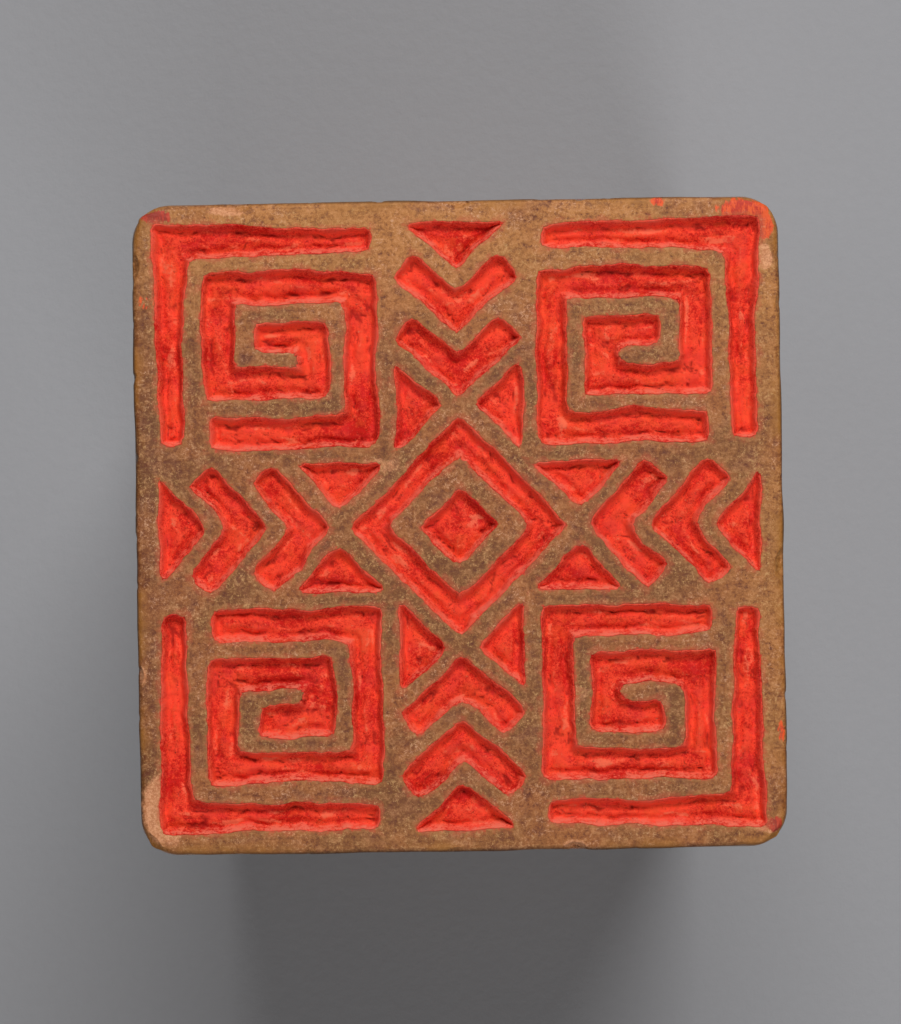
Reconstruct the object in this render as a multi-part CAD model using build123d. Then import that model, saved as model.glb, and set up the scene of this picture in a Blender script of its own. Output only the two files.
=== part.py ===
from build123d import *
import os

# A square stone seal stamp, standing on its plain end with its printing face up.
# The stone is one block. Its printing face is cut in intaglio, and each cut still holds a lining of dried
# red seal paste, which is a piece by itself. The cuts make an ornament of square spirals, hooks, chevrons,
# darts and a lozenge. The origin is the centre of the plain end, +Z runs up through the block, and +Y is
# the top of the printing face as it is read.

# The stone block, in millimetres
face_width = 36.0
face_height = 36.2
body_height = 72.0
corner_radius = 2.1
face_edge_radius = 0.35
plain_end_radius = 1.2

# The cuts in the printing face
stroke_width = 1.8
face_margin = 1.25
cut_depth = 1.0
wall_lean_width = 0.28
cut_overrun_height = 0.2

# The dried paste that lines each cut
paste_setback_depth = 0.06
paste_side_thickness = 0.12
paste_floor_thickness = 0.28

# Wear: shallow scoops out of the edge round the printing face
chip_radius = 1.7
chip_bite_depth = 0.42
# Degrees. A scoop is turned so that its seam stays clear of the block's edges
chip_turn = 37

# The strokes lie on a grid of lines, this many on each side of the middle one
stroke_line_count = 6

# Worked out from the sizes above
line_pitch_x = (face_width / 2 - face_margin - stroke_width / 2) / stroke_line_count
line_pitch_y = (face_height / 2 - face_margin - stroke_width / 2) / stroke_line_count
land_width = (line_pitch_x + line_pitch_y) / 2 - stroke_width

# Outlines in shares of the line pitch, counted from the middle of the face.
# Those of a corner are for the top right corner, and those of a side for the top side.
hook_path_shares = ((1.75, 6), (6, 6), (6, 1.75))
hook_width_shares = (0.74, 1.05, 0.74)
spiral_path_shares = ((5.25, 2), (2, 2), (2, 5), (5, 5), (5, 3), (3, 3), (3, 4), (4.25, 4))
chevron_path_shares = ((-1.15, 1.03), (0, 0), (1.15, 1.03))
inner_chevron_share = 3.12
outer_chevron_share = 4.42
triangle_cell_shares = ((0, 4.42), (2.87, 6.98), (-2.87, 6.98))
dart_cell_shares = ((-0.66, 2.56), (2, -0.1), (2, 4.95))
lozenge_outer_share = 2.32
lozenge_inner_share = 1.48
dot_share = 0.86

# No two hand-cut strokes are alike: these are taken in turn, point after point
swell_shares = (1.0, 0.93, 1.06, 0.98, 1.09, 0.95, 1.03, 0.9, 1.05, 0.97, 1.01)
wander_shares = (0.05, -0.04, 0.03, -0.06, 0.02, 0.06, -0.03)

# The chips: the way out to the side or corner, the place along that side, and the share of the usual size
chip_shares = (
    ((-1, 0), 0.404, 0.8),
    ((-1, 0), -0.22, 0.7),
    ((-1, -1), 0, 0.9),
    ((0, 1), -0.34, 1.1),
    ((0, 1), 0.01, 0.9),
    ((0, -1), 0.17, 0.8),
    ((1, -1), 0, 0.7),
    ((1, 0), -0.067, 1),
    ((1, 0), 0.33, 0.7),
)


def in_turn(shares, index):
    """The share that falls to a point when the shares are dealt out in turn."""
    return shares[index % len(shares)]


def on_face(point_shares):
    """A point on the grid of stroke lines, in millimetres from the middle of the face."""
    return Vector(point_shares[0] * line_pitch_x, point_shares[1] * line_pitch_y)


def sideways(start, end):
    """The unit vector to the left of a line from start to end."""
    along = (end - start).normalized()
    return Vector(-along.Y, along.X)


def bowed(points, deal, closed):
    """The same line with a middle point added to each stretch, pushed a little off the straight."""
    last = len(points) if closed else len(points) - 1
    result = []
    for n in range(last):
        start = points[n]
        end = points[(n + 1) % len(points)]
        push = sideways(start, end) * stroke_width * in_turn(wander_shares, deal + n)
        result += [start, (start + end) / 2 + push]
    return result if closed else result + [points[-1]]


def stroke_outline(path_shares, width_shares, deal):
    """The outline of a cut stroke that follows a path, mitred where the path turns."""
    path = bowed([on_face(p) for p in path_shares], deal, closed=False)
    left = []
    right = []
    for n, point in enumerate(path):
        before = sideways(path[max(n - 1, 0)], path[max(n, 1)])
        after = sideways(path[min(n, len(path) - 2)], path[min(n + 1, len(path) - 1)])
        mitre = (before + after) / (1 + before.dot(after))
        corner = n // 2
        planned = (width_shares[corner] + width_shares[corner + n % 2]) / 2
        half_width = stroke_width / 2 * planned * in_turn(swell_shares, deal + n)
        left.append(point + mitre * half_width)
        right.append(point - mitre * half_width)
    return right + left[::-1]


def moved_in(outline, distance):
    """The same outline with every side moved inwards."""
    result = []
    for n, point in enumerate(outline):
        before = sideways(outline[n - 1], point)
        after = sideways(point, outline[(n + 1) % len(outline)])
        mitre = (before + after) / (1 + before.dot(after))
        result.append(point + mitre * distance)
    return result


def cell_outline(cell_shares, deal):
    """The outline of a dart that fills a cell between strokes and leaves the usual land round it."""
    dart = moved_in([on_face(p) for p in cell_shares], stroke_width / 2 + land_width)
    return bowed(dart, deal, closed=True)


def lozenge_outline(reach_share, deal):
    """A square on its corner in the middle of the face."""
    corners = [on_face((x * reach_share, y * reach_share)) for x, y in ((1, 0), (0, 1), (-1, 0), (0, -1))]
    return bowed(corners, deal, closed=True)


def turned(shares, quarter_turns, mirrored=False):
    """The shares of an outline carried to another side of the face, a quarter turn at a time."""
    result = [(-x, y) if mirrored else (x, y) for x, y in shares]
    for _ in range(quarter_turns):
        result = [(-y, x) for x, y in result]
    return result


def raised(shares, distance_share):
    """The shares of an outline moved away from the middle of the face."""
    return [(x, y + distance_share) for x, y in shares]


def leaning_block(outline, top, bottom, side, way_in):
    """A block under an outline on the face, with walls that lean in by 1 or out by -1 as a cut's do."""
    sections = []
    for height in (top, bottom):
        lean = (body_height - height) * wall_lean_width / cut_depth
        points = moved_in(outline, way_in * (side + lean))
        sections.append(Pos(0, 0, height) * make_face(Polyline(*points, close=True)))
    return loft(sections, ruled=True)


def island(outline, side=0):
    """The stone left standing inside a cut, grown all round by a side. Its walls lean the other way."""
    below_floor = body_height - cut_depth - cut_overrun_height
    return leaning_block(outline, body_height + cut_overrun_height, below_floor, side, -1)


def cut(outline, inner_edge=None):
    """What the knife takes out of the stone, run out past the face."""
    block = leaning_block(outline, body_height + cut_overrun_height, body_height - cut_depth, 0, 1)
    return block - island(inner_edge) if inner_edge else block


def lining(outline, inner_edge=None):
    """The paste in a cut: a thin skin on the walls, thicker on the floor, and a little below the face."""
    rim = body_height - paste_setback_depth
    floor = body_height - cut_depth
    filled = leaning_block(outline, rim, floor, 0, 1)
    hollow = leaning_block(outline, rim + cut_overrun_height, floor + paste_floor_thickness, paste_side_thickness, 1)
    if inner_edge:
        filled = filled - island(inner_edge)
        hollow = hollow - island(inner_edge, paste_side_thickness)
    return filled - hollow


def stone_block():
    """The uncut stone: a square column with softened edges and a few chips round the printing face."""
    block = extrude(RectangleRounded(face_width, face_height, corner_radius), body_height)
    block = fillet(block.edges().group_by(Axis.Z)[-1], face_edge_radius)
    block = fillet(block.edges().group_by(Axis.Z)[0], plain_end_radius)
    for (side_x, side_y), along_share, size_share in chip_shares:
        outward = Vector(side_x, side_y).normalized()
        along = Vector(abs(side_y) * face_width, abs(side_x) * face_height) * along_share
        # A corner chip starts from the rounded corner, which lies further in than the corner of a square
        inset = corner_radius * (1 - 1 / 2**0.5) * abs(side_x * side_y)
        edge = Vector(side_x * (face_width / 2 - inset), side_y * (face_height / 2 - inset), body_height)
        reach = (chip_radius - chip_bite_depth) * size_share / 2**0.5
        scoop = Pos(edge + along + (outward + Vector(0, 0, 1)) * reach) * Rot(chip_turn, chip_turn)
        block = block - scoop * Sphere(chip_radius * size_share)
    return block


def plan_of_the_cuts():
    """Every cut's name and what bounds it: its outline, and for the lozenge the edge of its island too."""
    sides = ("top", "left", "bottom", "right")
    corners = ("top_right", "top_left", "bottom_left", "bottom_right")
    chevron_widths = (1,) * len(chevron_path_shares)
    spiral_widths = (1,) * len(spiral_path_shares)
    plan = {}
    for turn, (side, corner) in enumerate(zip(sides, corners)):
        # Neighbouring corners are mirror images, so every second one is turned from a mirrored one.
        flip = turn % 2 == 1
        corner_turns = turn - 1 if flip else turn
        hook = turned(hook_path_shares, corner_turns, flip)
        spiral = turned(spiral_path_shares, corner_turns, flip)
        plan[f"corner_hook_{corner}"] = [stroke_outline(hook, hook_width_shares, 2 * turn)]
        plan[f"corner_spiral_{corner}"] = [stroke_outline(spiral, spiral_widths, 5 * turn + 3)]

        inner_chevron = turned(raised(chevron_path_shares, inner_chevron_share), turn)
        outer_chevron = turned(raised(chevron_path_shares, outer_chevron_share), turn)
        plan[f"inner_chevron_{side}"] = [stroke_outline(inner_chevron, chevron_widths, 3 * turn)]
        plan[f"outer_chevron_{side}"] = [stroke_outline(outer_chevron, chevron_widths, 3 * turn + 4)]
        plan[f"edge_triangle_{side}"] = [cell_outline(turned(triangle_cell_shares, turn), turn)]

        dart = turned(dart_cell_shares, turn)
        mirrored_dart = turned(dart_cell_shares, turn, True)[::-1]
        plan[f"dart_{2 * turn + 1}"] = [cell_outline(dart, turn + 2)]
        plan[f"dart_{2 * turn + 2}"] = [cell_outline(mirrored_dart, turn + 5)]
    plan["centre_dot"] = [lozenge_outline(dot_share, 4)]
    plan["centre_lozenge"] = [lozenge_outline(lozenge_outer_share, 1), lozenge_outline(lozenge_inner_share, 5)]
    return plan


cuts = plan_of_the_cuts()
pieces = {"stone_body": stone_block() - [cut(*bounds) for bounds in cuts.values()]}
for name, bounds in cuts.items():
    pieces[f"paste_{name}"] = lining(*bounds)

os.makedirs("parts", exist_ok=True)
for name, piece in pieces.items():
    export_step(piece, f"parts/{name}.step")
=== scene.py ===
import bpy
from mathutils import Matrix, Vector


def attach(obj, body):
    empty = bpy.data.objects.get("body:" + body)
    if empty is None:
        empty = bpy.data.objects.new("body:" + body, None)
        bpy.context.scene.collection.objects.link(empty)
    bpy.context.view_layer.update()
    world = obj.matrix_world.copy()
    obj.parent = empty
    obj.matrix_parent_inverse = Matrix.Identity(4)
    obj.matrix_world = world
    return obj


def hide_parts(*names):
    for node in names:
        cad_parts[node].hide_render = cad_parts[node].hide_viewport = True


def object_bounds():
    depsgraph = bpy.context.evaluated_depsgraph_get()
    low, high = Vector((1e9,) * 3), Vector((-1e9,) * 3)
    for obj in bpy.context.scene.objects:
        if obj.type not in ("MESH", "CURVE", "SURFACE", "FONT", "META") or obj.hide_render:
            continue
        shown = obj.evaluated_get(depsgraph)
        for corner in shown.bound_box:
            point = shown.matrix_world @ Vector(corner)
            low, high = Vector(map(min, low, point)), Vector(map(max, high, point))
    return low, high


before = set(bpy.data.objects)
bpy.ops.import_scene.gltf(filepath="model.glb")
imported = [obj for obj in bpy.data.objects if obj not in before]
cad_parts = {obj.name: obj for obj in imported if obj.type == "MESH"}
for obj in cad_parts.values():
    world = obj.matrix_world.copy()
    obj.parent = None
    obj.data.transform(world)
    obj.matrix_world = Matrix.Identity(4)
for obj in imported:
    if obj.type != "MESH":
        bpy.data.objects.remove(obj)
cadBox = [list(corner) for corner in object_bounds()]

import math

import bmesh
import bpy
from mathutils import Vector, noise
from mathutils.bvhtree import BVHTree
from mathutils.kdtree import KDTree

noise.seed_set(4)  # without it, noise_vector changes from run to run

mm = 0.001
samePlace = 0.0001 * mm  # points closer than this are one
halfWidth = cadBox[1][0] / mm
halfDepth = cadBox[1][1] / mm
faceHeight = cadBox[1][2] / mm  # the printing face, over the floor
pasteNodes = sorted(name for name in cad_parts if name.startswith("paste_"))
print("frame loaded,", len(pasteNodes), "pieces of paste")


# Shader helpers

def paint(levels):  # a colour as it looks on a screen, from 0 to 255, made linear
    shares = [level / 255 for level in levels]
    return [v / 12.92 if v < 0.04045 else ((v + 0.055) / 1.055) ** 2.4 for v in shares] + [1]


class Wire:  # an output socket. Python's operators on it add Math nodes
    def __init__(self, finish, socket):
        self.finish = finish
        self.socket = socket

    def math(self, operation, first, second):
        return self.finish.node("Math", {"operation": operation}, {0: first, 1: second})

    def __add__(self, other):
        return self.math("ADD", self, other)

    def __radd__(self, other):
        return self.math("ADD", other, self)

    def __sub__(self, other):
        return self.math("SUBTRACT", self, other)

    def __rsub__(self, other):
        return self.math("SUBTRACT", other, self)

    def __mul__(self, other):
        return self.math("MULTIPLY", self, other)

    def __rmul__(self, other):
        return self.math("MULTIPLY", other, self)

    def atMost(self, other):
        return self.math("MINIMUM", self, other)

    def atLeast(self, other):
        return self.math("MAXIMUM", self, other)

    def magnitude(self):
        return self.math("ABSOLUTE", self, 0)

    def fraction(self):
        return self.math("FRACT", self, 0)

    def rise(self, low, high):  # smoothly from 0 at low to 1 at high, which may be the lower of the two
        values = {"Value": self, "From Min": low, "From Max": high}
        return self.finish.node("MapRange", {"interpolation_type": "SMOOTHSTEP"}, values)


class Finish:  # a material being made, with patterns in millimetres and colours named in a dictionary
    def __init__(self, name, colours):
        self.colours = colours
        self.material = bpy.data.materials.new(name)
        self.material.use_nodes = True
        self.tree = self.material.node_tree
        self.tree.nodes.clear()
        place = self.node("TexCoord", output="Object")
        self.place = self.node("Mapping", {}, {"Vector": place, "Scale": (1 / mm,) * 3})
        self.x, self.y, self.z = [self.node("SeparateXYZ", {}, {0: self.place}, n) for n in range(3)]

    def node(self, kind, settings=None, inputs=None, output=0):
        made = self.tree.nodes.new("ShaderNode" + kind)
        for name, value in (settings or {}).items():
            setattr(made, name, value)
        for name, value in (inputs or {}).items():
            if isinstance(value, Wire):
                self.tree.links.new(value.socket, made.inputs[name])
            else:
                made.inputs[name].default_value = value
        return Wire(self, made.outputs[output]) if made.outputs else None

    def painted(self, name):  # what the mesh code wrote on the points
        return self.node("Attribute", {"attribute_name": name}, output="Fac")

    def grain(self, size, detail=3, roughness=0.5, shift=(0, 0, 0), stretch=(1, 1, 1), distortion=0):
        place = self.node("Mapping", {}, {"Vector": self.place, "Location": shift, "Scale": stretch})
        values = {"Vector": place, "Scale": 1 / size, "Detail": detail, "Roughness": roughness}
        return self.node("TexNoise", {}, {**values, "Distortion": distortion})

    def layers(self, slope, *bends):  # through slanting layers: 0 in the middle of each, 0.5 between two
        count = self.x * slope[0] + self.y * slope[1] + self.z * slope[2]
        for bend in bends:
            count = count + bend
        return (count.fraction() - 0.5).magnitude()

    def blend(self, amount, first, second):  # from one colour to another, each a wire or a colour's name
        pair = [paint(self.colours[c]) if isinstance(c, str) else c for c in (first, second)]
        return self.node("Mix", {"data_type": "RGBA"}, {0: amount, 6: pair[0], 7: pair[1]}, 2)

    def shade(self, colour, amount):  # makes a colour lighter or darker
        grey = self.node("CombineColor", {}, {0: amount, 1: amount, 2: amount})
        settings = {"data_type": "RGBA", "blend_type": "MULTIPLY"}
        return self.node("Mix", settings, {0: 1.0, 6: colour, 7: grey}, 2)

    def done(self, colour, roughness, relief, reliefDepth, **fixed):
        bump = self.node("Bump", {}, {"Height": relief, "Distance": reliefDepth * mm, "Strength": 1.0})
        values = {"Base Color": colour, "Roughness": roughness, "Normal": bump}
        values.update({name.replace("_", " "): value for name, value in fixed.items()})
        shader = self.node("BsdfPrincipled", {}, values)
        self.node("OutputMaterial", {}, {"Surface": shader})
        return self.material


# Mesh helpers

def copyOf(node, *notes):  # notes are numbers that the points carry for the materials
    bm = bmesh.new()
    for note in notes:
        bm.verts.layers.float.new(note)
    bm.from_mesh(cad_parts[node].data)
    bmesh.ops.remove_doubles(bm, verts=bm.verts, dist=samePlace)
    bmesh.ops.dissolve_limit(bm, angle_limit=0.002, verts=bm.verts, edges=bm.edges)  # radians
    bm.normal_update()
    return bm


def dice(bm, faces, axis, cuts):  # halves the faces again and again, until every cut is made
    if not cuts or not faces:
        return faces
    middle = len(cuts) // 2
    way = Vector([n == axis for n in range(3)])
    parts = dict.fromkeys(faces)  # each one once, and in the same order each run
    for face in faces:
        parts.update(dict.fromkeys(face.edges))
        parts.update(dict.fromkeys(face.verts))
    place = way * cuts[middle]
    cut = bmesh.ops.bisect_plane(bm, geom=list(parts), dist=samePlace, plane_co=place, plane_no=way)
    below = []
    above = []
    for part in cut["geom"]:
        if isinstance(part, bmesh.types.BMFace):
            side = below if part.calc_center_bounds()[axis] < cuts[middle] else above
            side.append(part)
    return dice(bm, below, axis, cuts[:middle]) + dice(bm, above, axis, cuts[middle + 1:])


def diceFine(bm, faces, step):  # squares of one step, seen from above
    for axis in (0, 1):
        low = min(v.co[axis] for f in faces for v in f.verts)
        high = max(v.co[axis] for f in faces for v in f.verts)
        count = max(1, round((high - low) / (step * mm)))
        cuts = [low + (high - low) * n / count for n in range(1, count)]
        faces = dice(bm, faces, axis, cuts)
    return faces


def smooth(low, high, value):
    share = min(1, max(0, (value - low) / (high - low)))
    return share * share * (3 - 2 * share)


def noiseAt(place, size, shift=(0, 0, 0)):  # about -1 to 1
    return noise.noise(place / size + Vector(shift))


def borderAt(place):  # how far a point lies inside the stone's outer sides
    return min(halfWidth - abs(place.x), halfDepth - abs(place.y))


def makePiece(bm, name, nodes, finish):
    bm.normal_update()
    mesh = bpy.data.meshes.new(name)
    bm.to_mesh(mesh)
    bm.free()
    mesh.shade_smooth()
    piece = bpy.data.objects.new(name, mesh)
    bpy.context.scene.collection.objects.link(piece)
    mesh.materials.append(finish)
    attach(piece, "root")
    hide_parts(*nodes)
    return piece


# The knife's unevenness, the same for the stone and for the paste in it, so that they stay together

knife = {
    "cornerAngle": 0.3,  # radians, and all the others are millimetres
    "cornerReach": 0.55,
    "cornerPush": 0.34,
    "wander": 0.16,
    "wanderSize": 1.7,
    "nibble": 0.07,
    "nibbleSize": 0.4,
    "stillBorder": 0.5,  # next to the outer edge nothing moves
}

# The paste is copied first: the outside of each piece shows where its cut's walls and corners are
pasteCopies = {node: copyOf(node, "lipDistance", "hollowShade", "streak") for node in pasteNodes}
wallPoints = []
wallFaces = []
cornerPlaces = []
cornerWays = []  # into the cut from each corner
for bm in pasteCopies.values():
    for face in bm.faces:
        face.tag = -0.6 < face.normal.z < -0.1  # a wall that leans in, and not the floor
        if face.tag:
            wallFaces.append(range(len(wallPoints), len(wallPoints) + len(face.verts)))
            wallPoints += [v.co.copy() for v in face.verts]
    for edge in bm.edges:
        if all(f.tag for f in edge.link_faces) and edge.calc_face_angle() > knife["cornerAngle"]:
            corner = max((v.co for v in edge.verts), key=lambda co: co.z)
            way = Vector()
            for face in edge.link_faces:
                along = face.normal.cross(Vector((0, 0, 1))).normalized()
                way += along * math.copysign(0.5, along.dot(face.calc_center_median() - corner))
            cornerPlaces.append(corner / mm)
            cornerWays.append(way)
wallTree = BVHTree.FromPolygons(wallPoints, wallFaces)
cornerTree = KDTree(len(cornerPlaces))
for n, place in enumerate(cornerPlaces):
    cornerTree.insert((place.x, place.y, 0), n)
cornerTree.balance()


def knifeShift(place):  # both in millimetres
    flat = Vector((place.x, place.y, 0))
    slow = noise.noise_vector(flat / knife["wanderSize"]) * knife["wander"]
    fast = noise.noise_vector(flat / knife["nibbleSize"] + Vector((3, 8, 5))) * knife["nibble"]
    hold = smooth(0, knife["stillBorder"], borderAt(place))
    shift = Vector((slow.x + fast.x, slow.y + fast.y, 0)) * hold
    n, far = cornerTree.find(flat)[1:]
    way = cornerWays[n]
    return shift + way * way.length * knife["cornerPush"] * (1 - smooth(0, knife["cornerReach"], far))


def wallDistance(place):  # in millimetres, at the height of the face
    return wallTree.find_nearest(Vector((place.x, place.y, faceHeight * mm)))[3] / mm


# The stone

stone = {
    # its mesh, in millimetres
    "lipRound": 0.05,
    "lipMargin": 0.6,  # no lip lies closer to the outer sides
    "faceStep": 0.17,
    "sideStep": 2.4,
    "sideRows": ((2, 2, faceHeight - 3), (0, -16, 16), (1, -16, 16)),  # axis, first row and last row
    "wornBand": 1.5,  # under the face, on the sides
    "carvedBand": 0.9,  # under the face, in the cuts
    "topBand": 0.4,  # under the face, for its own unevenness
    "unevenness": 0.035,
    "unevenSize": 5.0,
    "grit": 0.014,
    "gritSize": 0.3,
    "edgeBand": 0.8,
    "edgeWear": 0.07,
    "edgeWearSize": 2.4,
    "nick": 0.4,
    "nickSize": 0.9,
    "nickRarity": 0.32,  # the level of noise, from 0 to 1, at which a nick starts
    "cornerWear": 0.14,
    "sideWave": 0.05,
    "sideWaveSize": 14,
    "sideWaveFade": (4, 2),  # at the worn band and at the floor
    # its finish
    "cloudSize": 5.5,  # the sizes of patterns are in millimetres
    "faceVeinSize": 1.8,
    "bedSize": 17,
    "driftSize": 6.5,
    "grainSize": 0.4,
    "fineGrainSize": 0.14,
    "seamSlope": (0.014, 0.011, 0.042),  # how many seams there are in a millimetre of x, y and z
    "creaseSlope": (0.030, -0.026, 0.016),
    "relief": 0.06,
    "faceRoughness": 0.60,
    "sideRoughness": 0.27,
    "faceDark": (128, 76, 30),
    "faceLight": (158, 91, 40),
    "mauve": (139, 82, 47),
    "ochre": (190, 124, 58),
    "bedDark": (120, 78, 42),
    "bedLight": (162, 104, 58),
    "driftLight": (176, 119, 68),
    "driftDark": (92, 61, 42),
    "seam": (184, 132, 84),
    "paleVein": (208, 166, 118),
    "darkVein": (60, 38, 26),
    "grainDark": (100, 42, 14),
    "grainLight": (228, 164, 110),
    "specksTan": (204, 158, 100),
    "specksPink": (214, 162, 128),
    "specksDark": (84, 42, 18),
    "amber": (168, 108, 34),
    # painted shade along the edge of the face
    "edgeShadeColour": (66, 44, 24),
    "wornEdge": (178, 128, 82),
    "chalkDark": (204, 130, 82),
    "chalkLight": (240, 170, 124),
    "brickDark": (150, 20, 12),
    "brickLight": (196, 54, 32),
    "smearDark": (196, 24, 6),
    "smearLight": (242, 86, 26),
    "crustRed": (190, 84, 48),
    "crustTan": (184, 122, 62),
    "lipRed": (206, 58, 34),
    "lipPale": (228, 174, 122),
}

# Spots on the printing face: the middle and the half sizes in millimetres, and how strong
spots = {
    "redSmear": [
        (15.9, 17.3, 1.6, 0.8, 1.0),
        (17.0, 16.3, 0.8, 0.9, 0.9),
        (11.2, 17.8, 0.4, 0.3, 0.8),
        (17.6, -11.7, 0.3, 0.7, 0.6),
        (-17.2, 12.6, 0.5, 0.5, 0.5),
    ],
    "brickSmear": [
        (-16.5, 17.4, 0.9, 0.5, 1.0),
        (17.3, -16.8, 0.5, 0.5, 1.0),
    ],
    "palePatch": [
        (-12.7, 17.6, 1.2, 0.4, 0.8),
        (-16.6, -15.5, 1.5, 2.2, 1.2),
        (16.8, -16.9, 1.0, 0.5, 0.8),
        (6.1, -17.8, 0.8, 0.3, 0.8),
        (17.0, 14.6, 0.6, 0.8, 1.1),
        (-17.7, -8.0, 0.3, 0.7, 0.7),
        (-9.6, 9.8, 1.0, 0.4, 0.65),
        (-4.4, 3.4, 1.5, 0.5, 0.6),
        (6.4, -9.4, 0.8, 0.6, 0.6),
        (2.1, -6.6, 0.6, 0.9, 0.6),
    ],
}


def spotStrength(kind, x, y):
    most = 0
    for spotX, spotY, wide, tall, strength in spots[kind]:
        far = math.hypot((x - spotX) / wide, (y - spotY) / tall)
        most = max(most, strength * (1 - smooth(0.5, 1.25, far)))
    return most


def isLip(edge):  # an edge between the face and the wall of a cut
    if any(abs(v.co.z - faceHeight * mm) > 0.001 * mm for v in edge.verts):
        return False
    middle = (edge.verts[0].co + edge.verts[1].co) / 2
    inside = (abs(middle.x) < (halfWidth - stone["lipMargin"]) * mm
              and abs(middle.y) < (halfDepth - stone["lipMargin"]) * mm)
    return inside and min(f.normal.z for f in edge.link_faces) < 0.6  # one of its faces is a wall


def outwardAt(place):  # square to each side, and turning at the corners
    outward = Vector(((place.x / halfWidth) ** 7, (place.y / halfDepth) ** 7, 0))
    outward.normalize()
    return outward


def sideShift(place, depth):  # the polished sides are a little wavy
    wave = noiseAt(place, stone["sideWaveSize"]) + 1
    fadeTop, fadeFoot = stone["sideWaveFade"]
    hold = smooth(0, fadeTop, depth - stone["wornBand"]) * smooth(0, fadeFoot, place.z)
    return -outwardAt(place) * wave * hold * stone["sideWave"]


def faceShift(place, depth):  # the face is uneven, and its edges and corners are worn and nicked
    outward = outwardAt(place)
    border = borderAt(place)
    onTop = depth < stone["topBand"]
    shift = knifeShift(place)
    if onTop:
        low = noiseAt(place, stone["unevenSize"]) - 0.6
        fine = noiseAt(place, stone["gritSize"]) - 0.5
        shift.z += low * stone["unevenness"] + fine * stone["grit"]
    worn = (1 - smooth(0, stone["edgeBand"], border)) * (1 - smooth(0.7, stone["wornBand"], depth))
    wear = (noiseAt(place, stone["edgeWearSize"], (5, 5, 5)) + 1) * stone["edgeWear"]
    nick = max(0, noiseAt(place, stone["nickSize"], (0, 0, 9)) - stone["nickRarity"]) * stone["nick"]
    corner = min(1, 2 * abs(outward.x * outward.y))
    nick *= 1 - 0.8 * corner
    shift -= (outward + Vector((0, 0, 0.5 * onTop))) * worn * (wear + nick)
    corner *= (1 - smooth(0, stone["wornBand"], depth)) * (1 - smooth(0.3, 1.3, border))
    shift -= outward * corner * stone["cornerWear"]
    return shift


def makeStone():
    bm = copyOf("stone_body", "lipDistance", *spots)
    top = faceHeight * mm
    bandFoot = top - stone["wornBand"] * mm
    carvedFoot = top - stone["carvedBand"] * mm
    lips = [e for e in bm.edges if isLip(e)]
    bmesh.ops.bevel(bm, geom=lips, offset=stone["lipRound"] * mm, offset_type="OFFSET", segments=2,
                    profile=0.5, affect="EDGES", clamp_overlap=True, material=-1)
    bm.normal_update()

    def plainSides():
        return [f for f in bm.faces if f.calc_center_bounds().z < bandFoot and abs(f.normal.z) < 0.9]

    dice(bm, plainSides(), 2, [bandFoot])
    carved = [f for f in bm.faces if f.calc_center_bounds().z > carvedFoot]
    carved += [f for f in bm.faces if bandFoot < f.calc_center_bounds().z <= carvedFoot
               and abs(f.normal.z) < 0.5]
    diceFine(bm, carved, stone["faceStep"])
    sides = plainSides()
    for axis, low, high in stone["sideRows"]:
        count = round((high - low) / stone["sideStep"])
        sides = dice(bm, sides, axis, [(low + (high - low) * n / count) * mm for n in range(count + 1)])

    layers = dict(bm.verts.layers.float.items())
    for vert in bm.verts:
        place = vert.co / mm
        depth = faceHeight - place.z
        if depth > stone["wornBand"] - 0.01:
            vert[layers["lipDistance"]] = 9  # far from any lip
            vert.co += sideShift(place, depth) * mm
            continue
        vert[layers["lipDistance"]] = wallDistance(vert.co)
        for kind in spots:
            vert[layers[kind]] = spotStrength(kind, place.x, place.y)
        vert.co += faceShift(place, depth) * mm
    return bm


def faceColour(look, clouds):  # olive brown with mauve clouds, ochre towards three of the edges
    x, y = look.x, look.y
    veins = look.grain(stone["faceVeinSize"], 6, 0.7, (11, 5, 2), distortion=0.7)
    colour = look.blend(clouds.rise(0.40, 0.60), "faceDark", "faceLight")
    colour = look.blend(veins.rise(0.50, 0.64) * 0.75, colour, "mauve")
    warm = (y.rise(8, 17.5) + x.rise(12, 18) * 0.7 + (0 - y).rise(15, 18) * 0.3).atMost(1)
    warm = warm * look.grain(3.8, 5, 0.65, (5, 9, 1)).rise(0.28, 0.55)
    colour = look.blend(warm * 0.75, colour, "ochre")
    # darker towards the left edge: painted shade on the side away from the light
    return look.shade(colour, 1 - (0 - x).rise(15, 17.5) * 0.22)


def sideColour(look):  # the same stone clearer: slanting beds, soft drifts, and thin veins and creases
    beds = look.grain(stone["bedSize"], 4, 0.55, (1, 6, 3), (0.8, 0.8, 1.9), distortion=0.9)
    drifts = look.grain(stone["driftSize"], 5, 0.6, (4, 4, 2), (1, 1, 1.4), distortion=1.1)
    colour = look.blend(beds.rise(0.42, 0.58), "bedDark", "bedLight")
    colour = look.blend(drifts.rise(0.50, 0.64) * 0.5, colour, "driftLight")
    colour = look.blend(drifts.rise(0.47, 0.36) * 0.35, colour, "driftDark")
    jitter = (look.grain(2.6, 2, 0.5, (2, 2, 9)) - 0.5) * 0.16
    seam = look.layers(stone["seamSlope"], (look.grain(24, 1, 0.4, (9, 3, 5)) - 0.5) * 1.7, jitter)
    colour = look.blend(seam.rise(0.10, 0.0) * 0.3, colour, "seam")
    colour = look.blend(seam.rise(0.008, 0.001) * drifts.rise(0.47, 0.56) * 0.55, colour, "paleVein")
    crease = look.layers(stone["creaseSlope"], (look.grain(26, 1, 0.4, (2, 8, 8)) - 0.5) * 1.3, jitter)
    return look.blend(crease.rise(0.007, 0.001) * beds.rise(0.50, 0.57) * 0.55, colour, "darkVein")


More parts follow.
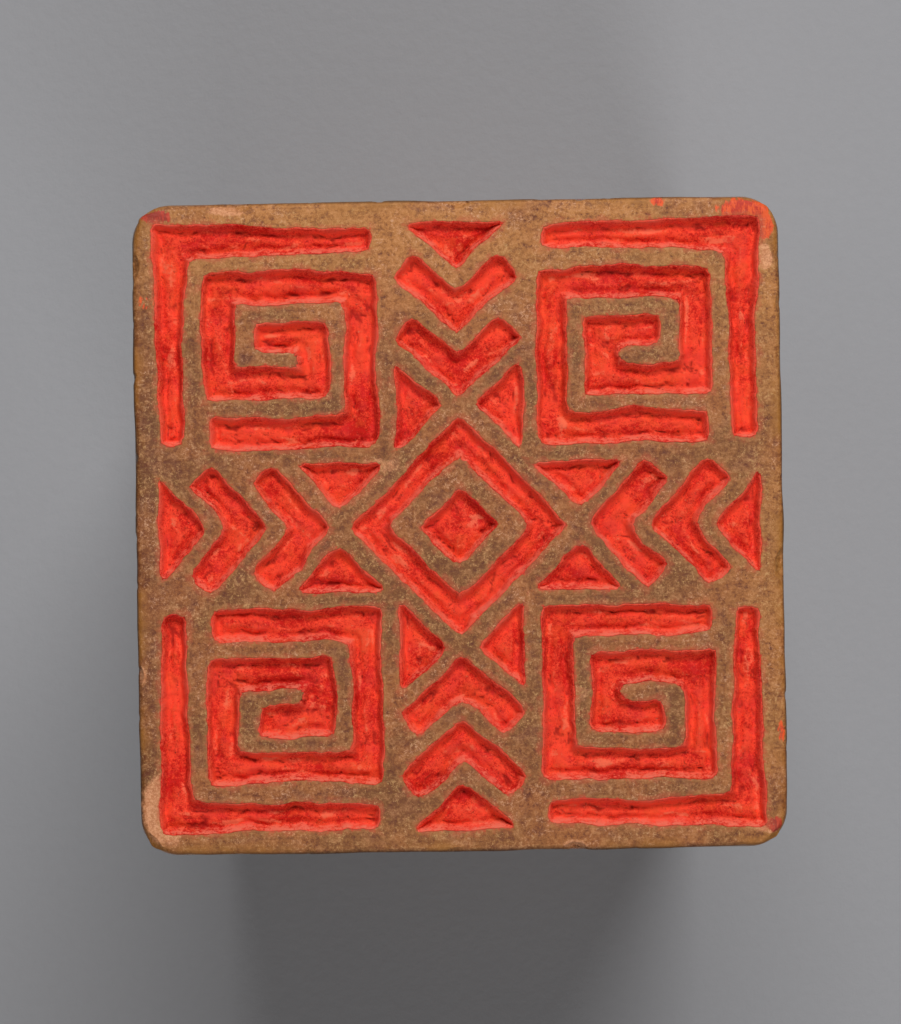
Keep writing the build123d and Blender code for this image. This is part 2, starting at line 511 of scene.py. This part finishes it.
def stainedColour(look, colour, onFace, nearFace, fine, uneven):  # what has got onto the stone
    ragged = look.grain(0.4, 5, 0.8, (7, 3, 9))
    streaky = look.grain(0.6, 5, 0.8, (1, 1, 5), (1.6, 0.5, 1))

    # chalky patches, and smears of paste
    pale = (look.painted("palePatch") + (ragged - 0.5) * 1.5).rise(0.3, 0.8)
    chalk = look.blend(fine.rise(0.4, 0.6), "chalkDark", "chalkLight")
    colour = look.blend(pale * 0.75, colour, chalk)

    def smeared(kind):
        strength = look.painted(kind)
        return (strength + (streaky - 0.5) * 3.2).rise(0.35, 0.65) * strength.rise(0.05, 0.3)

    brick = look.blend(streaky.rise(0.45, 0.58), "brickDark", "brickLight")
    colour = look.blend(smeared("brickSmear") * 0.9, colour, brick)
    thumbed = look.grain(4, 5, 0.75, (8, 8, 3)).rise(0.52, 0.60) * streaky.rise(0.44, 0.56)
    thumbed = nearFace * (1 - onFace) * thumbed
    red = look.blend(streaky.rise(0.45, 0.58), "smearDark", "smearLight")
    colour = look.blend((smeared("redSmear") * 0.9).atLeast(thumbed * 0.55), colour, red)

    # the lips of the cuts: crusted, stained red in places, and paler in others
    lip = look.painted("lipDistance") + (ragged - 0.5) * 0.7 + (uneven - 0.5) * 0.9
    crust = look.blend(uneven.rise(0.42, 0.56), "crustRed", "crustTan")
    colour = look.blend(lip.rise(0.38, 0.0) * onFace * 0.5, colour, crust)
    colour = look.blend(lip.rise(0.13, 0.0) * onFace * uneven.rise(0.42, 0.54), colour, "lipRed")
    paleLipSpots = lip.rise(0.42, 0.2) * onFace * fine.rise(0.55, 0.64) * uneven.rise(0.50, 0.42)
    return look.blend(paleLipSpots * 0.5, colour, "lipPale")


def stoneFinish():
    look = Finish("mottledSealStone", stone)
    x, y, z = look.x, look.y, look.z
    bandFoot = faceHeight - stone["wornBand"]
    onFace = z.rise(bandFoot, faceHeight - stone["topBand"])  # 1 on the face, 0 on the sides
    nearFace = z.rise(faceHeight - 3.5, faceHeight - 0.5)
    clouds = look.grain(stone["cloudSize"], 5, 0.62, (3, 1, 0))
    colour = look.blend(onFace, sideColour(look), faceColour(look, clouds))

    # grains and the marks of rubbing down, pale and dark
    middling = look.grain(stone["grainSize"], 4, 0.75, (2, 2, 7))
    fine = look.grain(stone["fineGrainSize"], 4, 0.85, (8, 4, 3))
    rubbed = look.grain(0.34, 4, 0.7, (2, 7, 1), (0.16, 1.3, 1)) * 0.6
    rubbed = rubbed + look.grain(0.3, 4, 0.7, (8, 1, 1), (1.1, 0.3, 1)) * 0.4
    grains = (middling - 0.5) * 3.0 + (fine - 0.5) * 2.4 + (rubbed - 0.5) * 1.6
    grains = grains * (onFace * 0.5 + 0.2)
    colour = look.blend((0 - grains) * 1.9, colour, "grainDark")
    colour = look.blend(grains * 0.8, colour, "grainLight")
    patchy = look.grain(0.8, 3, 0.7, (4, 0, 6))
    paleSpecks = fine.rise(0.53, 0.62) * patchy.rise(0.43, 0.60) * (onFace * 0.6 + 0.15)
    paleColour = look.blend(clouds.rise(0.45, 0.55), "specksTan", "specksPink")
    colour = look.blend(paleSpecks, colour, paleColour)
    darkSpecks = look.grain(0.17, 3, 0.8, (9, 2, 4)).rise(0.56, 0.66) * (1 - patchy).rise(0.42, 0.6)
    colour = look.blend(darkSpecks * 0.3, colour, "specksDark")

    # the edge of the face: a dark line of painted shade where the edge rounds off, with painted amber
    # light where the stone is thin and lets light in
    sideBorder = halfWidth - x.magnitude()
    endBorder = halfDepth - y.magnitude()
    border = sideBorder.atMost(endBorder)
    corner = sideBorder + endBorder
    amber = border.rise(0.9, 0.25) * look.grain(3.4, 3, 0.6, (6, 6, 6)).rise(0.45, 0.62)
    amber = amber.atLeast(corner.rise(2.6, 1.6))
    colour = look.blend(amber * nearFace * 0.6, colour, "amber")
    # painted shade: a dark line where the face rounds off at its edge
    edgeShade = border.rise(0.24, 0.05) * z.rise(faceHeight - 1.2, faceHeight - 0.4)
    colour = look.blend(edgeShade * 0.75, colour, "edgeShadeColour")

    # the other edges are worn pale
    uneven = look.grain(1.3, 4, 0.7, (4, 4, 1))
    wander = (uneven - 0.5) * 3
    worn = (corner + wander).rise(1.75, 1.1).atLeast((z + wander).rise(0.9, 0.25)) * (1 - onFace)
    colour = look.blend(worn * 0.4, colour, "wornEdge")
    colour = stainedColour(look, colour, onFace, nearFace, fine, uneven)

    # the polish, dulled in places by hands and by fine scratches
    handled = look.grain(9, 4, 0.6, (3, 9, 3))
    scratches = look.grain(0.3, 4, 0.7, (5, 5, 1), (1, 1, 0.05))
    polish = stone["sideRoughness"] + (handled - 0.5) * 0.9 + (scratches - 0.5) * 0.5 + worn * 0.14
    roughness = polish + (stone["faceRoughness"] - polish) * onFace + (middling - 0.5) * 0.16
    rough = fine * 0.5 + middling * 0.5 + rubbed * 0.6
    relief = onFace * rough + (1 - onFace) * (middling * 0.10 + scratches * 0.12)
    return look.done(colour, roughness, relief, stone["relief"], IOR=1.5)


stoneBm = makeStone()
stonePiece = makePiece(stoneBm, "carvedStone", ["stone_body"], stoneFinish())
print("stone made,", len(stonePiece.data.polygons), "faces")


# The dried paste

paste = {
    # its mesh, in millimetres
    "step": 0.10,
    "shallowest": 0.015,  # this and the next four are depths below the face
    "rim": 0.02,
    "ridge": 0.30,
    "groove": 0.66,
    "deepest": 0.93,
    "ridgeSize": 2.6,
    "drift": 0.12,
    "driftSize": 0.9,
    "crack": 0.12,
    "crackLength": 1.7,
    "crackApart": 0.5,
    "crackPatch": 1.1,
    "crackWidth": 0.16,  # a share of the streaks' strength
    "streak": 0.05,
    "streakReach": 12,
    "lump": 0.10,
    "lumpSize": 0.7,
    "crumb": 0.09,
    "crumbSize": 0.26,
    # its finish
    "relief": 0.09,
    "crimson": (204, 20, 10),
    "vermilion": (253, 73, 45),
    "orange": (246, 88, 38),
    "rose": (226, 48, 48),
    "streakPale": (252, 128, 92),
    # painted shade in the hollows and cracks of the paste
    "hollowShadeRed": (146, 8, 4),
    # the rim's pink: thin paste, and painted light where the top of the cut catches more light
    "rimPinkLit": (240, 104, 82),
    # painted light on the end walls that face the key light
    "endWallLightPink": (246, 138, 112),
    # painted highlights on the crumbs
    "paintedGlints": (246, 150, 112),
    # painted shade in the pits
    "pitShade": (112, 8, 6),
}

# the four ways that a stroke can run
compass = [Vector((math.cos(math.pi * n / 4), math.sin(math.pi * n / 4), 0)) for n in range(4)]


def alongStroke(place):  # noise drawn out along the stroke that a point lies in, about -1 to 1
    origin = Vector((place.x, place.y, faceHeight - 0.5)) * mm
    total = 0
    weights = 0
    for n, along in enumerate(compass):
        free = 0
        for direction in (along, -along):
            hit = wallTree.ray_cast(origin, direction, paste["streakReach"] * mm)[3]
            free += hit / mm if hit else paste["streakReach"]
        across = Vector((-along.y, along.x, 0))
        weight = free ** 4
        length = place.dot(along) / paste["crackLength"]
        drawn = Vector((length, place.dot(across) / paste["crackApart"], n * 5))
        total += weight * (noise.noise(drawn) + 0.5 * noise.noise(drawn * 2.3))
        weights += weight ** 2
    return total / math.sqrt(weights)


def pasteHeight(place, distance):  # its depth below the face, how much painted shade its hollows and cracks get, and its streaks
    drift = paste["drift"] * noiseAt(place, paste["driftSize"], (1, 1, 4))
    across = distance + drift * smooth(0.05, 0.3, distance)
    wall = smooth(0.02, 0.4, across)
    crest = smooth(0.42, 0.78, across)
    rise = 0.55 + 0.8 * noiseAt(place, paste["ridgeSize"], (6, 2, 9))
    ridge = (paste["ridge"] - paste["groove"]) * min(1, max(0, rise))
    depth = paste["rim"] + (paste["groove"] - paste["rim"]) * wall + ridge * crest
    floor = smooth(0.12, 0.5, across)
    streak = alongStroke(place)
    cracked = smooth(-0.25, 0.3, noiseAt(place, paste["crackPatch"], (2, 7, 3)))
    crack = max(0, 1 - abs(streak) / paste["crackWidth"]) * cracked
    lump = noiseAt(place, paste["lumpSize"], (4, 4, 4))
    crumbPlace = place / paste["crumbSize"]
    crumb = abs(noise.noise(crumbPlace)) + 0.5 * abs(noise.noise(crumbPlace * 2.1))
    depth += (crack * paste["crack"] - streak * paste["streak"] + lump * paste["lump"]) * floor
    depth += (0.3 - crumb) * paste["crumb"] * (0.3 + floor)
    # painted shade: darker where the paste lies deep, and in its cracks
    hollowShade = 0.5 * smooth(0.42, 0.78, depth) + 0.6 * crack * floor
    depth = min(paste["deepest"], max(paste["shallowest"], depth))
    return depth, hollowShade, (streak + 0.4 * ridge * crest) * floor


def makePaste(node):
    bm = pasteCopies[node]
    allButBottom = [f for f in bm.faces if f.normal.z > -0.6]
    diced = diceFine(bm, allButBottom, paste["step"])
    upperPoints = {v for f in diced if f.normal.z > 0.05 for v in f.verts}
    layers = bm.verts.layers.float
    for vert in bm.verts:
        place = vert.co / mm
        shift = knifeShift(place)
        if vert in upperPoints:
            distance = wallDistance(vert.co)
            depth, hollowShade, streak = pasteHeight(Vector((place.x, place.y, 0)), distance)
            vert[layers["lipDistance"]] = distance
            vert[layers["hollowShade"]] = hollowShade
            vert[layers["streak"]] = streak
            shift.z = faceHeight - depth - place.z
        vert.co += shift * mm
    return bm


def pasteFinish():
    look = Finish("driedSealPaste", paste)
    distance = look.painted("lipDistance")
    hollowShade = look.painted("hollowShade")
    streak = look.painted("streak")

    # crimson to vermilion, from batches of paste down to single grains of its powder
    batches = look.grain(4.5, 3, 0.6, (7, 2, 4))
    clumps = look.grain(0.8, 4, 0.7, (2, 5, 1))
    crumbs = look.grain(0.2, 5, 0.8, (5, 1, 3))
    powder = look.grain(0.09, 2, 0.7, (2, 2, 2))
    bright = 0.82 + (clumps - 0.5) * 2.4 + (batches - 0.5) * 3.6
    bright = bright + (crumbs - 0.5) * 4.4 + (powder - 0.5) * 2.8
    colour = look.blend(bright + streak * 0.5, "crimson", "vermilion")
    tint = look.grain(1.6, 4, 0.7, (9, 4, 6))
    colour = look.blend(tint.rise(0.53, 0.62) * 0.3, colour, "orange")
    colour = look.blend(tint.rise(0.48, 0.38) * 0.35, colour, "rose")

    # pale streaks, pink rims with painted light, end walls painted pale as painted light where they face
    # the key light, and dark red painted shade where the paste lies deep
    colour = look.blend((streak + (crumbs - 0.5) * 2).rise(0.28, 0.7) * 0.55, colour, "streakPale")
    # dark red painted shade in the hollows and cracks
    hollowShadeAmount = (hollowShade + (crumbs - 0.5) * 0.8).rise(0.3, 1.0)
    colour = look.blend(hollowShadeAmount * 0.75, colour, "hollowShadeRed")
    # the rim: pinker where the paste is thin, with painted light as well
    rim = (distance + (crumbs - 0.5) * 0.4 + (clumps - 0.5) * 0.4).rise(0.42, 0.04)
    colour = look.blend(rim * bright * 0.45, colour, "rimPinkLit")
    # painted light: end walls that face +Y, towards the key light, painted pale
    facing = look.node("SeparateXYZ", {}, {0: look.node("NewGeometry", output="Normal")}, 1)
    endWallLight = facing.rise(0.3, 0.75) * distance.rise(0.5, 0.15)
    endWallLight = endWallLight * (clumps + (crumbs - 0.5)).rise(0.42, 0.56)
    colour = look.blend(endWallLight * 0.55, colour, "endWallLightPink")

    # pale specks as painted highlights and dark pits as painted shade, both in patches
    paintedGlints = look.grain(0.15, 3, 0.8, (3, 3, 1)).rise(0.60, 0.72)
    paintedGlints = paintedGlints * look.grain(1.2, 3, 0.6, (1, 7, 2)).rise(0.46, 0.62)
    colour = look.blend(paintedGlints * 0.7, colour, "paintedGlints")
    pitShade = look.grain(0.17, 3, 0.8, (6, 1, 8)).rise(0.60, 0.72)
    pitShade = pitShade * look.grain(0.9, 3, 0.6, (3, 2, 2)).rise(0.44, 0.6)
    colour = look.blend(pitShade * 0.75, colour, "pitShade")
    relief = crumbs * 0.9 + clumps * 0.3 - pitShade * 0.5 + paintedGlints * 0.3
    values = {"IOR": 1.4, "Specular_IOR_Level": 0.3}
    return look.done(colour, 0.6 + crumbs * 0.25, relief, paste["relief"], **values)


pasteMaterial = pasteFinish()
for node in pasteNodes:
    makePiece(makePaste(node), node.replace("paste_", "driedPaste_"), [node], pasteMaterial)
print("paste made in", len(pasteNodes), "cuts")


# The table, the light and the camera

studio = {
    "tableSize": 6.0,
    "tableDark": (155, 155, 158),
    "tableLight": (162, 162, 165),
    "skyStrength": 0.05,
    "keyPlace": (0.05, 0.30, 0.42),
    "keySize": 0.26,
    "keyPower": 2.05,
    "fillPlace": (0.10, -0.60, 0.66),
    "fillSize": 0.30,
    "fillPower": 2.3,
    "cameraHeight": 0.195,  # over the printing face
    "cameraPlace": (-9, 14),  # from the middle of the stone, in pixels
    "turn": -0.9,  # degrees
    "pixel": 0.0553 * mm,  # at the printing face
    "pictureHeight": 1024,  # pixels
    "sensorWidth": 36,
}


def makeTable():
    bm = bmesh.new()
    bmesh.ops.create_grid(bm, x_segments=1, y_segments=1, size=studio["tableSize"] / 2)
    mesh = bpy.data.meshes.new("table")
    bm.to_mesh(mesh)
    bm.free()
    table = bpy.data.objects.new("table", mesh)
    bpy.context.scene.collection.objects.link(table)
    look = Finish("greyPaper", studio)
    tooth = look.grain(0.8, 4, 0.6)
    colour = look.blend(look.grain(30, 3, 0.5), "tableDark", "tableLight")
    colour = look.shade(colour, 0.97 + tooth * 0.06)
    mesh.materials.append(look.done(colour, 0.85, tooth, 0.05, IOR=1.4))


def makeLights():
    world = bpy.data.worlds.new("room")
    world.use_nodes = True
    background = world.node_tree.nodes["Background"]
    background.inputs["Color"].default_value = (1, 1, 1, 1)
    background.inputs["Strength"].default_value = studio["skyStrength"]
    bpy.context.scene.world = world
    for name in ("key", "fill"):
        light = bpy.data.lights.new(name, "AREA")
        light.shape = "DISK"
        light.size = studio[name + "Size"]
        light.energy = studio[name + "Power"]
        lamp = bpy.data.objects.new(name, light)
        place = Vector(studio[name + "Place"])
        lamp.location = place
        lamp.rotation_euler = (-place).to_track_quat("-Z", "Y").to_euler()
        bpy.context.scene.collection.objects.link(lamp)


def makeCamera():
    across, up = [share * studio["pixel"] for share in studio["cameraPlace"]]
    lens = bpy.data.cameras.new("camera")
    lens.sensor_width = studio["sensorWidth"]
    seen = studio["pictureHeight"] * studio["pixel"]  # of the printing face, from top to bottom
    lens.lens = studio["sensorWidth"] * studio["cameraHeight"] / seen
    camera = bpy.data.objects.new("camera", lens)
    camera.location = (across, up, cadBox[1][2] + studio["cameraHeight"])
    camera.rotation_euler = (0, 0, math.radians(studio["turn"]))
    bpy.context.scene.collection.objects.link(camera)
    bpy.context.scene.camera = camera


makeTable()
makeLights()
makeCamera()
bpy.context.scene.view_settings.view_transform = "Standard"
print("table, light and camera made")
